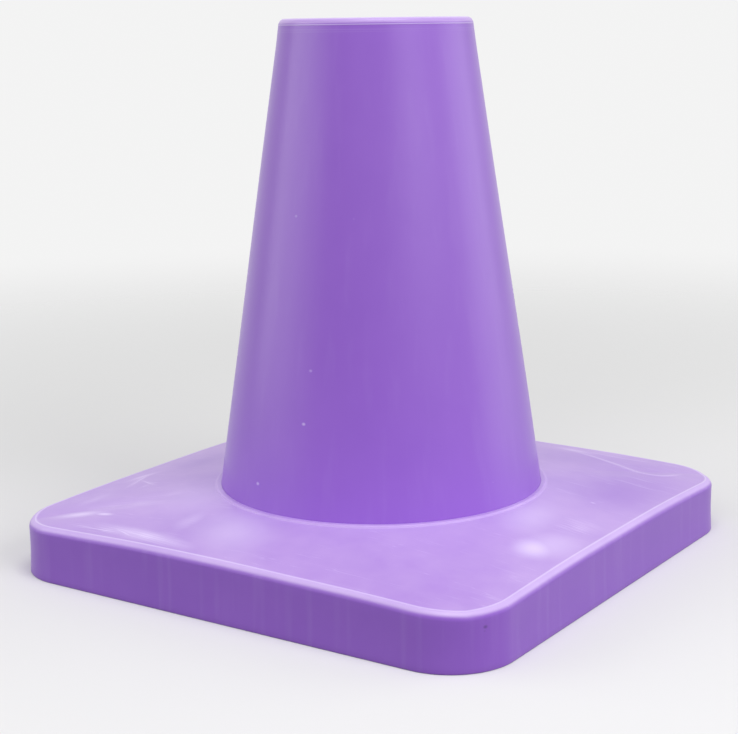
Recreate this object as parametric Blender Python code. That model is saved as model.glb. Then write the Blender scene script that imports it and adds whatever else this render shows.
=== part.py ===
"""Training cone: a blunt round cone held in a square crowned base by a ring and four screws.

Metres, +Z up. The origin is the middle of the underside, level with the rim that the cone
stands on, and the sides of the square base lie along X and Y.

The body goes up through the base from below until its foot flange meets the collar round the
hole. The ring is screwed to four bosses under the base and holds the flange there. Pieces that
touch on the real cone are one CLEARANCE apart.
"""

import math

import bmesh
import bpy
from mathutils import Matrix, Vector

# Gap left between two pieces that touch
CLEARANCE = 0.0003

# Cone body
TOTAL_HEIGHT = 0.300
TOP_RADIUS = 0.0526
TOP_EDGE_RADIUS = 0.0036
TOP_WALL = 0.003
FOOT_RADIUS = 0.0919
BODY_WALL = 0.003
INNER_EDGE_RADIUS = 0.002
FLANGE_WIDTH = 0.005
FLANGE_WALL = 0.003

# Square base
BASE_SIDE = 0.304
CORNER_RADIUS = 0.035
FOOT_HEIGHT = 0.0398
EDGE_HEIGHT = 0.0327
CORNER_DROOP = 0.0031
EDGE_RADIUS = 0.0042
SKIRT_FLARE = 0.0005
SKIRT_WALL = 0.003
BASE_WALL = 0.003
INSIDE_EDGE_RADIUS = 0.0015
LIP_HEIGHT = 0.0011
LIP_WIDTH = 0.0028
COLLAR_DEPTH = 0.0109
COLLAR_WALL = 0.003
BOSS_RADIUS = 0.0045
BOSS_GAP = 0.001
BOSS_ROOF = 0.003

# Retaining ring
RING_WALL = 0.004
RING_SETBACK = 0.001
RING_LAND = 0.005
RING_EDGE = 0.0006

# Screws
SCREW_COUNT = 4
SCREW_RADIUS = 0.002
SCREW_TIP = 0.0015
SCREW_TIP_RADIUS = 0.001
HEAD_RADIUS = 0.004
HEAD_HEIGHT = 0.0026
HEAD_SIDE = 0.0010
RECESS_SPAN = 0.0042
RECESS_SLOT = 0.0010
RECESS_DEPTH = 0.0014
HOLE_SPARE = 0.001
CUT_OVERRUN = 0.002

# Steps that round shapes are divided into
TURN_STEPS = 96
SCREW_STEPS = 16
HOLE_STEPS = 24
SIDE_STEPS = 16
CORNER_STEPS = 8
SHEET_STEPS = 4
ARC_STEPS = 4
SHARP_ANGLE = math.radians(40)
MERGE_DISTANCE = 0.00001


def cone_slope():
    """How much the cone's radius grows for each unit of depth."""
    return (FOOT_RADIUS - TOP_RADIUS) / (TOTAL_HEIGHT - FOOT_HEIGHT)


def cone_radius(height):
    """Outer radius of the body at a height, with the taper carried on below the foot."""
    return FOOT_RADIUS + (FOOT_HEIGHT - height) * cone_slope()


def across(wall):
    """Level thickness of a wall that leans as the side of the cone does."""
    return wall * math.hypot(1, cone_slope())


def bore_radius(height):
    """Radius of the base's tapered hole, which follows the body."""
    return cone_radius(height) + across(CLEARANCE)


# Heights and radii of the joint between body, base, ring and screws, from the top down
COLLAR_BOTTOM = FOOT_HEIGHT - BASE_WALL - COLLAR_DEPTH
COLLAR_RADIUS = bore_radius(COLLAR_BOTTOM) + COLLAR_WALL
FLANGE_TOP = COLLAR_BOTTOM - CLEARANCE
FLANGE_BOTTOM = FLANGE_TOP - FLANGE_WALL
FLANGE_RADIUS = cone_radius(FLANGE_TOP) + FLANGE_WIDTH
RING_TOP = FLANGE_BOTTOM - CLEARANCE
RING_BOTTOM = RING_TOP - RING_WALL
SCREW_SEAT = RING_BOTTOM - CLEARANCE
SCREW_PITCH_RADIUS = FLANGE_RADIUS + BOSS_GAP + BOSS_RADIUS
LIP_TOP = FOOT_HEIGHT + LIP_HEIGHT
LIP_FOOT_RADIUS = bore_radius(LIP_TOP) + LIP_WIDTH
SKIRT_TOP_HALF = BASE_SIDE / 2 - SKIRT_FLARE
SHEET_TILT = math.atan2(FOOT_HEIGHT - EDGE_HEIGHT, SKIRT_TOP_HALF - EDGE_RADIUS - LIP_FOOT_RADIUS)
SHEET_INSET = EDGE_RADIUS * (1 - math.sin(SHEET_TILT))


def arc(centre, radius, start, end, steps):
    """Points in (radius, height) on an arc from one angle to another, both ends included."""
    angles = [start + (end - start) * step / steps for step in range(steps + 1)]
    return [(centre[0] + radius * math.cos(a), centre[1] + radius * math.sin(a)) for a in angles]


def rounded_square(inset):
    """Plan points anticlockwise round the skirt's top outline, moved inwards by an inset."""
    half = SKIRT_TOP_HALF - inset
    radius = CORNER_RADIUS - inset
    flat = half - radius
    quarter = [Vector((half, flat * (2 * step / SIDE_STEPS - 1))) for step in range(SIDE_STEPS)]
    for step in range(CORNER_STEPS):
        angle = math.pi / 2 * step / CORNER_STEPS
        quarter.append(Vector((flat + radius * math.cos(angle), flat + radius * math.sin(angle))))
    turns = [Matrix.Rotation(side * math.pi / 2, 2) for side in range(4)]
    return [turn @ point for turn in turns for point in quarter]


def edge_reach(point):
    """Distance from the axis to the edge of the top sheet, in the direction of a plan point."""
    half = SKIRT_TOP_HALF - SHEET_INSET
    radius = CORNER_RADIUS - SHEET_INSET
    long = max(abs(point.x), abs(point.y)) / point.length
    short = min(abs(point.x), abs(point.y)) / point.length
    flat = half - radius
    if short * half <= flat * long:
        return half / long
    along = flat * (long + short)
    return along + math.sqrt(along ** 2 - 2 * flat ** 2 + radius ** 2)


def edge_height(point):
    """Height of the top sheet's edge in the direction of a plan point, lower at the corners."""
    short_share = min(abs(point.x), abs(point.y)) / max(abs(point.x), abs(point.y))
    return EDGE_HEIGHT - CORNER_DROOP * short_share ** 2


def sheet_height(point):
    """Height of the top sheet over a plan point: it falls evenly from the foot to the edge."""
    share = (point.length - LIP_FOOT_RADIUS) / (edge_reach(point) - LIP_FOOT_RADIUS)
    return FOOT_HEIGHT + (edge_height(point) - FOOT_HEIGHT) * share


def raised(points, height_of):
    """Plan points lifted to the height that a function gives each of them."""
    return [(point.x, point.y, height_of(point)) for point in points]


def round_loop(radius, height):
    """A level circle whose points face those of the sheet's edge."""
    points = [direction.normalized() * radius for direction in rounded_square(SHEET_INSET)]
    return raised(points, lambda point: height)


def sheet_loops(inner_radius, inset, depth):
    """Loops over the top sheet, or its underside at a depth, from a circle out to an inset."""
    loops = []
    for step in range(SHEET_STEPS + 1):
        share = step / SHEET_STEPS
        points = []
        for outer in rounded_square(inset):
            points.append((outer.normalized() * inner_radius).lerp(outer, share))
        loops.append(raised(points, lambda point: sheet_height(point) - depth))
    return loops


def edge_loops(start_inset, radius, start_tilt, depth):
    """Loops round the edge between the sheet and the skirt, down to the upright skirt."""
    loops = []
    start_heights = [sheet_height(point) - depth for point in rounded_square(start_inset)]
    for step in range(1, ARC_STEPS + 1):
        tilt = start_tilt + (math.pi / 2 - start_tilt) * step / ARC_STEPS
        inset = start_inset - radius * (math.sin(tilt) - math.sin(start_tilt))
        drop = radius * (math.cos(start_tilt) - math.cos(tilt))
        outline = zip(rounded_square(inset), start_heights)
        loops.append([(point.x, point.y, height - drop) for point, height in outline])
    return loops


def new_object(name, mesh, material):
    """A mesh object in the scene, shaded smooth and sharp only at its real edges."""
    mesh.shade_smooth()
    mesh.set_sharp_from_angle(angle=SHARP_ANGLE)
    piece = bpy.data.objects.new(name, mesh)
    bpy.context.collection.objects.link(piece)
    if material:
        mesh.materials.append(material)
    return piece


def lofted(name, loops, material):
    """A closed skin over loops of equal count, the last one joined to the first."""
    shape = bmesh.new()
    rows = [[shape.verts.new(point) for point in loop] for loop in loops]
    for row, following in zip(rows, rows[1:] + rows[:1]):
        for index in range(len(row)):
            after = (index + 1) % len(row)
            shape.faces.new((row[index], following[index], following[after], row[after]))
    mesh = bpy.data.meshes.new(name)
    shape.to_mesh(mesh)
    shape.free()
    return new_object(name, mesh, material)


def turned(name, profile, closed, steps, material):
    """A round piece: a profile of (radius, height) turned about Z, down its outer side."""
    mesh = bpy.data.meshes.new(name)
    edges = [(index, index + 1) for index in range(len(profile) - 1)]
    if closed:
        edges.append((len(profile) - 1, 0))
    mesh.from_pydata([(radius, 0, height) for radius, height in profile], edges, [])
    piece = new_object(name, mesh, material)
    screw = piece.modifiers.new("turn", "SCREW")
    screw.steps = steps
    screw.render_steps = steps
    screw.use_merge_vertices = True
    screw.merge_threshold = MERGE_DISTANCE
    screw.use_smooth_shade = True
    return piece


def cylinders(name, places, radius, bottom, tops):
    """Upright cylinders at plan places, kept as a hidden tool for other pieces."""
    shape = bmesh.new()
    for place, top in zip(places, tops):
        middle = Matrix.Translation((place.x, place.y, (bottom + top) / 2))
        bmesh.ops.create_cone(
            shape, cap_ends=True, segments=HOLE_STEPS, radius1=radius, radius2=radius,
            depth=top - bottom, matrix=middle)
    mesh = bpy.data.meshes.new(name)
    shape.to_mesh(mesh)
    shape.free()
    return hidden_tool(new_object(name, mesh, None))


def hidden_tool(tool):
    """Marks an object as a cutter or stock that is not a piece itself."""
    tool.hide_render = True
    tool.display_type = "WIRE"
    return tool


def combine(piece, operation, tool):
    """Adds a tool to a piece, or cuts it out of the piece."""
    change = piece.modifiers.new(f"{operation.lower()} {tool.name}", "BOOLEAN")
    change.operation = operation
    change.object = tool
    change.solver = "EXACT"


def plastic(name, colour, roughness):
    """A moulded plastic of one colour."""
    material = bpy.data.materials.new(name)
    material.use_nodes = True
    shader = material.node_tree.nodes["Principled BSDF"]
    shader.inputs["Base Color"].default_value = (*colour, 1)
    shader.inputs["Roughness"].default_value = roughness
    shader.inputs["Metallic"].default_value = 0
    return material


def steel(name):
    """Bright zinc-plated steel."""
    material = plastic(name, (0.62, 0.63, 0.65), 0.3)
    material.node_tree.nodes["Principled BSDF"].inputs["Metallic"].default_value = 1
    return material


def make_cone_body(material):
    """The blunt cone: closed flat top, tapered wall, and a foot flange under the base."""
    slope = math.atan(cone_slope())
    setback_share = math.tan((math.pi / 2 - slope) / 2)
    outer_edge = arc(
        (TOP_RADIUS - TOP_EDGE_RADIUS * setback_share, TOTAL_HEIGHT - TOP_EDGE_RADIUS),
        TOP_EDGE_RADIUS, math.pi / 2, slope, ARC_STEPS)
    inner_top = TOTAL_HEIGHT - TOP_WALL
    inner_radius = cone_radius(inner_top) - across(BODY_WALL)
    inner_edge = arc(
        (inner_radius - INNER_EDGE_RADIUS * setback_share, inner_top - INNER_EDGE_RADIUS),
        INNER_EDGE_RADIUS, slope, math.pi / 2, ARC_STEPS)
    profile = [(0, TOTAL_HEIGHT)]
    profile += outer_edge
    profile += [
        (cone_radius(FLANGE_TOP), FLANGE_TOP),
        (FLANGE_RADIUS, FLANGE_TOP),
        (FLANGE_RADIUS, FLANGE_BOTTOM),
        (cone_radius(FLANGE_BOTTOM) - across(BODY_WALL), FLANGE_BOTTOM)]
    profile += inner_edge
    profile.append((0, inner_top))
    return turned("cone_body", profile, False, TURN_STEPS, material)


def make_square_base(material, bosses, holes):
    """The base: lip and collar round the hole, crowned sheet, rounded edge, upright skirt."""
    loops = [round_loop(bore_radius(LIP_TOP), LIP_TOP)]
    rounding = arc((LIP_FOOT_RADIUS - LIP_HEIGHT, FOOT_HEIGHT), LIP_HEIGHT, math.pi / 2, 0, ARC_STEPS)
    loops += [round_loop(radius, height) for radius, height in rounding]
    loops += sheet_loops(LIP_FOOT_RADIUS, SHEET_INSET, 0)[1:]
    loops += edge_loops(SHEET_INSET, EDGE_RADIUS, SHEET_TILT, 0)
    loops.append(raised(rounded_square(-SKIRT_FLARE), lambda point: 0))
    loops.append(raised(rounded_square(SKIRT_WALL - SKIRT_FLARE), lambda point: 0))
    inside_inset = SKIRT_WALL + INSIDE_EDGE_RADIUS
    underside = sheet_loops(COLLAR_RADIUS, inside_inset, BASE_WALL)
    underside += edge_loops(inside_inset, INSIDE_EDGE_RADIUS, 0, BASE_WALL)
    loops += reversed(underside)
    loops.append(round_loop(COLLAR_RADIUS, COLLAR_BOTTOM))
    loops.append(round_loop(bore_radius(COLLAR_BOTTOM), COLLAR_BOTTOM))
    base = lofted("square_base", loops, material)
    combine(base, "UNION", bosses)
    combine(base, "DIFFERENCE", holes)
    return base


def make_retaining_ring(material, holes):
    """The flat ring that holds the body's flange up against the base."""
    inner = cone_radius(FLANGE_BOTTOM) - across(BODY_WALL) + RING_SETBACK
    outer = SCREW_PITCH_RADIUS + RING_LAND
    profile = [
        (inner + RING_EDGE, RING_TOP), (outer - RING_EDGE, RING_TOP),
        (outer, RING_TOP - RING_EDGE), (outer, RING_BOTTOM + RING_EDGE),
        (outer - RING_EDGE, RING_BOTTOM), (inner + RING_EDGE, RING_BOTTOM),
        (inner, RING_BOTTOM + RING_EDGE), (inner, RING_TOP - RING_EDGE)]
    ring = turned("retaining_ring", profile, True, TURN_STEPS, material)
    combine(ring, "DIFFERENCE", holes)
    return ring


def recess_tool(place):
    """The cross-shaped cutter for one screw's head."""
    arm = RECESS_SPAN / 2
    slot = RECESS_SLOT / 2
    corners = [(arm, -slot), (arm, slot), (slot, slot), (slot, arm), (-slot, arm), (-slot, slot)]
    corners += [(-x, -y) for x, y in corners]
    shape = bmesh.new()
    bottom = -HEAD_HEIGHT - CUT_OVERRUN
    face = shape.faces.new([shape.verts.new((x, y, bottom)) for x, y in corners])
    grown = bmesh.ops.extrude_face_region(shape, geom=[face])["geom"]
    lid = [part for part in grown if isinstance(part, bmesh.types.BMVert)]
    bmesh.ops.translate(shape, verts=lid, vec=(0, 0, RECESS_DEPTH + CUT_OVERRUN))
    bmesh.ops.recalc_face_normals(shape, faces=shape.faces)
    mesh = bpy.data.meshes.new("recess_tool")
    shape.to_mesh(mesh)
    shape.free()
    tool = hidden_tool(new_object("recess_tool", mesh, None))
    tool.location = place
    return tool


def make_screw(name, place, length, material):
    """A pan-head screw with its head down and its shank up through the ring."""
    crown = HEAD_HEIGHT - HEAD_SIDE
    dome = [(HEAD_RADIUS * math.cos(a), -HEAD_SIDE - crown * math.sin(a))
            for a in (math.pi / 2 * step / ARC_STEPS for step in range(ARC_STEPS))]
    profile = [
        (0, length), (SCREW_TIP_RADIUS, length),
        (SCREW_RADIUS, length - SCREW_TIP), (SCREW_RADIUS, 0), (HEAD_RADIUS, 0)]
    profile += dome
    profile.append((0, -HEAD_HEIGHT))
    screw = turned(name, profile, False, SCREW_STEPS, material)
    screw.location = place
    combine(screw, "DIFFERENCE", recess_tool(place))
    return screw


def clear_scene():
    """Removes every object, so that the script can be run again."""
    for leftover in list(bpy.data.objects):
        bpy.data.objects.remove(leftover)


def main():
    """Builds the cone and parents its pieces to one empty."""
    clear_scene()
    purple = plastic("purple_plastic", (0.27, 0.12, 0.60), 0.35)
    dark = plastic("ring_plastic", (0.03, 0.03, 0.035), 0.5)
    zinc = steel("zinc_steel")
    angles = [math.pi / 4 + math.tau * index / SCREW_COUNT for index in range(SCREW_COUNT)]
    places = [Vector((math.cos(a), math.sin(a))) * SCREW_PITCH_RADIUS for a in angles]
    sheet_middles = [sheet_height(place) - BASE_WALL / 2 for place in places]
    hole_tops = [sheet_height(place) - BASE_WALL - BOSS_ROOF for place in places]
    bosses = cylinders("boss_stock", places, BOSS_RADIUS, FLANGE_BOTTOM, sheet_middles)
    holes = cylinders("hole_tool", places, SCREW_RADIUS + CLEARANCE, RING_BOTTOM - CUT_OVERRUN, hole_tops)
    pieces = [
        make_cone_body(purple),
        make_square_base(purple, bosses, holes),
        make_retaining_ring(dark, holes)]
    for number, (place, hole_top) in enumerate(zip(places, hole_tops), 1):
        seat = Vector((place.x, place.y, SCREW_SEAT))
        length = hole_top - HOLE_SPARE - SCREW_SEAT
        pieces.append(make_screw(f"ring_screw_{number}", seat, length, zinc))
    assembly = bpy.data.objects.new("training_cone", None)
    bpy.context.collection.objects.link(assembly)
    for piece in pieces:
        piece.parent = assembly


main()
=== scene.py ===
"""Looks of the training cone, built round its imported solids.

Metres, +Z up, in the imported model's own frame: the origin is the middle of the underside, and
the sides of the square base lie along X and Y. The body and the base are remade as fine grids in
the places of their solids, the screws get threads and recesses, and the ring keeps its solid.
A profile is rows of (distance from the axis, height), and rings are (ring, place in it, x y z).
"""

import logging
import math
from collections.abc import Callable
from dataclasses import dataclass
from enum import Enum

import bpy
import numpy as np
from mathutils import Matrix, Vector


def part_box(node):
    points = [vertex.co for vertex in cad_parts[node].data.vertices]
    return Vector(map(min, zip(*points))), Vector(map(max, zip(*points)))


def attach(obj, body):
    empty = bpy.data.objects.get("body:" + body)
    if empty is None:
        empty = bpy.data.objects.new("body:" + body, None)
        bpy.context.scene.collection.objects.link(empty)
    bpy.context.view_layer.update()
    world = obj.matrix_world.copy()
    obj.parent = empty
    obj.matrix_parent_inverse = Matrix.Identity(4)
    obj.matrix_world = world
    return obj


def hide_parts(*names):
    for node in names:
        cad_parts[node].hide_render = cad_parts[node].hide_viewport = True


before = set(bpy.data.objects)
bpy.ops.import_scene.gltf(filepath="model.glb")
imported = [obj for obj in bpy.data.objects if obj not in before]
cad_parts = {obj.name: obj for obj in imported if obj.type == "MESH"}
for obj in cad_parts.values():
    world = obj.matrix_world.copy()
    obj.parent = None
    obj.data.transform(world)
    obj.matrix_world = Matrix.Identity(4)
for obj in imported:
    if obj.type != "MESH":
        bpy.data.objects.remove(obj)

Grid = np.ndarray
Pair = tuple[float, float]
Triple = tuple[float, float, float]
Waves = tuple[tuple[float, float, float, float], ...]
Rows = tuple[tuple[float, ...], ...]
Material = bpy.types.Material
Piece = bpy.types.Object
Socket = bpy.types.NodeSocket
Tree = bpy.types.NodeTree
Inputs = dict[str | int, object]
Effects = dict[str, Tree]

LOG = logging.getLogger("training_cone")
ROOT = "root"
SHARP_ANGLE = math.radians(40)
MM = 1000
QUARTER = math.pi / 2
# A Mix node's colour sockets go by number, since its other kinds of value use the same names.
MIX_FIRST, MIX_SECOND, MIX_RESULT = 6, 7, 2


class Slot(Enum):
    """The record's material slots."""

    PURPLE = "purple_plastic"
    RING = "ring_plastic"
    ZINC = "zinc_steel"


def ease(value: Grid, low: float, high: float) -> Grid:
    """Eases from 0 at low to 1 at high, as 3 s^2 - 2 s^3 of the share s of the way."""
    share = np.clip((value - low) / (high - low), 0.0, 1.0)
    return share * share * (3.0 - 2.0 * share)


def bell(distance: Grid, width: float) -> Grid:
    """A smooth hump, exp(-(distance / width)^2): 1 at no distance and almost 0 past two widths."""
    return np.exp(-((distance / width) ** 2))


def sines(first: Grid, second: Grid, waves: Waves) -> Grid:
    """A sum of waves (size, a, b, shift), each of them size sin(a first + b second + shift)."""
    return sum(size * np.sin(a * first + b * second + shift) for size, a, b, shift in waves)


def arc(centre: Pair, radius: float, start: float, end: float, steps: int) -> Grid:
    """A profile along an arc: the centre plus the radius times (cos a, sin a), from start to end."""
    angles = np.linspace(start, end, steps + 1)
    return np.array(centre) + radius * np.column_stack([np.cos(angles), np.sin(angles)])


def joined(stretches: list[Grid], nearest: float = 1e-6) -> Grid:
    """Stretches of a profile end to end, where neighbours closer than nearest are one point."""
    points = np.concatenate(stretches)
    return points[np.append(True, np.linalg.norm(np.diff(points, axis=0), axis=1) > nearest)]


def bearings(around: int) -> Grid:
    """Evenly spaced angles of one turn."""
    return np.linspace(0.0, math.tau, around, endpoint=False)


def turned(radius: Grid | float, height: Grid, angles: Grid) -> Grid:
    """Rings (r cos a, r sin a, z), with r and z given for each ring or for each point of it."""
    plan = radius * np.cos(angles), radius * np.sin(angles)
    return np.stack(np.broadcast_arrays(*plan, height), axis=-1)


def raised(plan: Grid, height: Grid | float) -> Grid:
    """Plan places (..., 2) as points (..., 3), each at its height."""
    return np.concatenate([plan, np.broadcast_to(height, plan.shape[:-1])[..., None]], axis=-1)


def linked(name: str, data: bpy.types.ID) -> Piece:
    """A new object in the scene.

    Args:
        name: Its name.
        data: Its data.

    Returns:
        The object.
    """
    thing = bpy.data.objects.new(name, data)
    bpy.context.scene.collection.objects.link(thing)
    return thing


@dataclass
class Skin:
    """Points and faces of one or more closed shells on the way to becoming a mesh.

    Marks are numbers kept at its points, by name, which the materials read as attributes.
    """

    points: Grid
    faces: list[Grid]
    marks: dict[str, Grid]

    def with_shell(self, other: "Skin") -> "Skin":
        """This skin and an unmarked one, whose marks are 0, as a new skin."""
        unmarked = np.zeros(len(other.points))
        return Skin(
            np.concatenate([self.points, other.points]),
            self.faces + [faces + len(self.points) for faces in other.faces],
            {name: np.concatenate([values, unmarked]) for name, values in self.marks.items()})

    def as_object(self, name: str, material: Material) -> Piece:
        """A mesh object of this skin, at the origin, smooth but for its real edges.

        Args:
            name: The object's name.
            material: Its one material.

        Returns:
            The new object, linked to the scene.
        """
        mesh = bpy.data.meshes.new(name)
        faces = [face for group in self.faces for face in group.tolist()]
        mesh.from_pydata(self.points.tolist(), [], faces)
        mesh.validate()
        for mark, values in self.marks.items():
            attribute = mesh.attributes.new(mark, "FLOAT", "POINT")
            attribute.data.foreach_set("value", values.astype(np.float32))
        mesh.shade_smooth()
        mesh.set_sharp_from_angle(angle=SHARP_ANGLE)
        mesh.materials.append(material)
        return linked(name, mesh)


def loop_grid(rings: Grid, closed: bool, marks: dict[str, Grid]) -> Skin:
    """A skin over rings of equal count, each ring joined to the next and round to itself.

    Args:
        rings: The rings.
        closed: Whether the last ring is joined to the first. If not, the first and the last
            ring are closed to a pole at their middle.
        marks: Numbers for each point as (ring, place in it), by name.

    Returns:
        A closed skin.
    """
    count, around, _ = rings.shape
    place = np.arange(around)
    following = np.roll(place, -1)
    near = np.arange(count if closed else count - 1)[:, None] * around
    far = (near + around) % (count * around)
    quads = np.stack([near + place, far + place, far + following, near + following], axis=-1)
    faces, points = [quads.reshape(-1, 4)], rings.reshape(-1, 3)
    values = {name: value.reshape(-1) for name, value in marks.items()}
    if not closed:
        pole, last = np.full(around, len(points)), (count - 1) * around
        faces.append(np.stack([pole, place, following], axis=-1))
        faces.append(np.stack([pole + 1, last + following, last + place], axis=-1))
        points = np.concatenate([points, rings[[0, -1]].mean(axis=1)])
        values = {name: np.append(value, value[[0, -1]]) for name, value in values.items()}
    return Skin(points, faces, values)


@dataclass(frozen=True)
class Taper:
    """The cone's side, which the body and the base's hole share."""

    top_height: float
    top_radius: float = 0.0526
    foot_height: float = 0.0398
    foot_radius: float = 0.0919

    @property
    def slope(self) -> float:
        """How much the radius grows for each unit of depth."""
        return (self.foot_radius - self.top_radius) / (self.top_height - self.foot_height)

    @property
    def lean(self) -> float:
        """Angle between the side and the axis."""
        return math.atan(self.slope)

    def radius(self, height: Grid | float) -> Grid | float:
        """Radius of the side at a height, with the taper carried on below the foot."""
        return self.foot_radius + (self.foot_height - height) * self.slope

    def across(self, wall: Grid | float) -> Grid | float:
        """Level thickness of a wall that leans as the side does."""
        return wall * math.hypot(1.0, self.slope)

    def setback(self, radius: float) -> float:
        """How far in from the side a level face ends where a rounding of a radius joins them."""
        return radius * math.tan((QUARTER - self.lean) / 2)


@dataclass
class ConeBody:
    """The blunt cone: a closed top with a rounded rim, a tapered wall and a foot flange."""

    taper: Taper
    flange_radius: float
    flange_bottom: float
    flange_wall: float = 0.003
    wall: float = 0.003
    rim_radius: float = 0.0036
    inner_rim_radius: float = 0.002
    edge_round: float = 0.0004
    top_sink: float = 0.0005
    gate_radius: float = 0.003
    gate_depth: float = 0.0004
    gate_fade: float = 0.8
    gate_reach: Pair = (1.5, 2.0)
    pole_radius: float = 0.0003
    seam_height: float = 0.0001
    seam_width: float = 0.00026
    seam_drop: float = 0.0034
    rim_dust_and_sheen: float = 0.78
    dust_and_sheen_start: Pair = (0.0004, 0.0011)
    witness_lines: tuple[Pair, ...] = ((0.0026, 0.13), (0.0037, 0.10))
    crest_drop: float = 0.001
    warp: float = 0.00028
    warp_start: Pair = (0.046, 0.090)
    warp_end: Pair = (0.285, 0.296)
    warp_core: float = 0.01
    waves: Waves = ((0.5, 2.0, 9.0, 0.7), (0.3, 3.0, 21.0, -1.9), (0.2, 5.0, -34.0, 2.6))
    around: int = 288
    gate_rows: int = 16
    top_rows: int = 24
    rim_steps: int = 40
    small_steps: int = 4
    inner_rim_steps: int = 8
    flange_rows: int = 4
    roof_rows: int = 7
    fine_share: float = 0.03
    fine_rows: int = 37
    side_rows: int = 91
    inner_rows: int = 41

    def outer_profile(self) -> Grid:
        """The outside from the middle of the top, over the rim and down the side to the flange.

        The top is z = H - sink (1 - (r / R)^2), less a shallow moulding gate at the middle. The
        uppermost share of the side has finer rows, for the lines under the rim.

        Returns:
            A profile.
        """
        top, gate, (near, far) = self.taper.top_height, self.gate_radius, self.gate_reach
        flat = self.taper.top_radius - self.taper.setback(self.rim_radius)
        distance = np.concatenate([
            np.linspace(self.pole_radius, gate * near, self.gate_rows),
            np.linspace(gate * far, flat, self.top_rows)])
        height = top - self.top_sink * (1.0 - (distance / flat) ** 2)
        height -= self.gate_depth * (1.0 - ease(distance, gate * self.gate_fade, gate))
        rim = arc((flat, top - self.rim_radius), self.rim_radius, QUARTER, self.taper.lean, self.rim_steps)
        flange_top = self.flange_bottom + self.flange_wall
        foot = np.array([self.taper.radius(flange_top), flange_top])
        fine_foot = rim[-1] + self.fine_share * (foot - rim[-1])
        return joined([
            np.column_stack([distance, height]), rim,
            np.linspace(rim[-1], fine_foot, self.fine_rows), np.linspace(fine_foot, foot, self.side_rows)])

    def inner_profile(self) -> Grid:
        """The flange and the inside, from the flange's upper face up to the middle of the top.

        Returns:
            A profile.
        """
        bottom, small = self.flange_bottom, self.edge_round
        flange_top = bottom + self.flange_wall
        outer = self.flange_radius - small
        roof = self.taper.top_height - self.wall
        across = self.taper.across(self.wall)
        mouth = self.taper.radius(bottom) - across
        flat = self.taper.radius(roof) - across - self.taper.setback(self.inner_rim_radius)
        centre = (flat, roof - self.inner_rim_radius)
        rim = arc(centre, self.inner_rim_radius, self.taper.lean, QUARTER, self.inner_rim_steps)
        return joined([
            np.linspace((self.taper.radius(flange_top), flange_top), (outer, flange_top), self.flange_rows),
            arc((outer, flange_top - small), small, QUARTER, 0.0, self.small_steps),
            arc((outer, bottom + small), small, 0.0, -QUARTER, self.small_steps),
            np.linspace((outer, bottom), (mouth, bottom), self.flange_rows),
            np.linspace((mouth, bottom), rim[0], self.inner_rows), rim,
            np.linspace((flat, roof), (self.pole_radius, roof), self.roof_rows)])

    def warped(self, rings: Grid) -> Grid:
        """The rings with the slow unevenness of a soft moulding.

        Each point moves out or in by warp times a few waves of its bearing and height, which
        fade out at the rim and at the foot, where the body meets the base.

        Args:
            rings: The even rings.

        Returns:
            The uneven ones.
        """
        x, y, height = np.moveaxis(rings, -1, 0)
        room = ease(height, *self.warp_start) * (1.0 - ease(height, *self.warp_end))
        move = self.warp * room * sines(np.arctan2(y, x), height, self.waves)
        grow = 1.0 + move / np.maximum(np.hypot(x, y), self.warp_core)
        return np.stack([x * grow, y * grow, height], axis=-1)

    def build(self, material: Material) -> Piece:
        """The cone body as one closed skin.

        Its marks are painted highlight lines at the crest and the seam, fainter pale lines under it,
        the rim's dust with a painted pale sheen, and where its outside is.

        Args:
            material: The wall's plastic.

        Returns:
            The piece, standing for the solid cone_body.
        """
        outer = self.outer_profile()
        above_seam = outer[:, 1] - (self.taper.top_height - self.seam_drop)
        on_side = outer[:, 0] > self.taper.top_radius - self.rim_radius / 2
        seam = bell(above_seam, self.seam_width) * on_side
        outer[:, 0] += self.seam_height * seam
        profile = joined([outer, self.inner_profile()])
        # Painted highlight lines: the seam, the rounded crest and the top, and two fainter lines below.
        wear_and_highlights = np.maximum(seam, ease(above_seam, self.seam_drop - self.crest_drop, self.seam_drop))
        for drop, share in self.witness_lines:
            wear_and_highlights = np.maximum(wear_and_highlights, share * bell(above_seam + drop, self.seam_width))
        # The rim is painted paler: dust, and a painted pale sheen for the sky's reflection.
        haze = self.rim_dust_and_sheen * ease(above_seam, *self.dust_and_sheen_start)
        inside = np.zeros(len(profile) - len(outer))
        marks = {
            name: np.repeat(np.concatenate([values, inside])[:, None], self.around, axis=1)
            for name, values in (("edge", wear_and_highlights), ("haze", haze), ("outside", np.ones(len(outer))))}
        rings = self.warped(turned(profile[:, :1], profile[:, 1:], bearings(self.around)))
        piece = loop_grid(rings, closed=False, marks=marks).as_object("cone_body_skin", material)
        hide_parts("cone_body")
        return piece


@dataclass(frozen=True)
class Crease:
    """A stress crease in the sheet: a curve through four named places of a cubic."""

    start: Pair
    first_pull: Pair
    second_pull: Pair
    end: Pair
    height: float
    width: float
    strength: float
    steps: int = 121
    fade_in: Pair = (0.0, 0.2)
    fade_out: Pair = (0.88, 1.0)

    def profile(self, place: Grid) -> Grid:
        """The crease's hump: 1 on its curve and 0 away from it and at its ends.

        The curve is the cubic (1-t)^3 A + 3 (1-t)^2 t B + 3 (1-t) t^2 C + t^3 D.

        Args:
            place: Plan places as (..., 2).

        Returns:
            A number for each place.
        """
        t = np.linspace(0.0, 1.0, self.steps)[:, None]
        corners = (self.start, self.first_pull, self.second_pull, self.end)
        weights = ((1 - t) ** 3, 3 * (1 - t) ** 2 * t, 3 * (1 - t) * t ** 2, t ** 3)
        curve = sum(weight * np.array(corner) for weight, corner in zip(weights, corners))
        gaps = np.linalg.norm(place[..., None, :] - curve, axis=-1)
        along = t[gaps.argmin(axis=-1), 0]
        ends = ease(along, *self.fade_in) * (1.0 - ease(along, *self.fade_out))
        return bell(gaps.min(axis=-1), self.width) * ends


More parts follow.
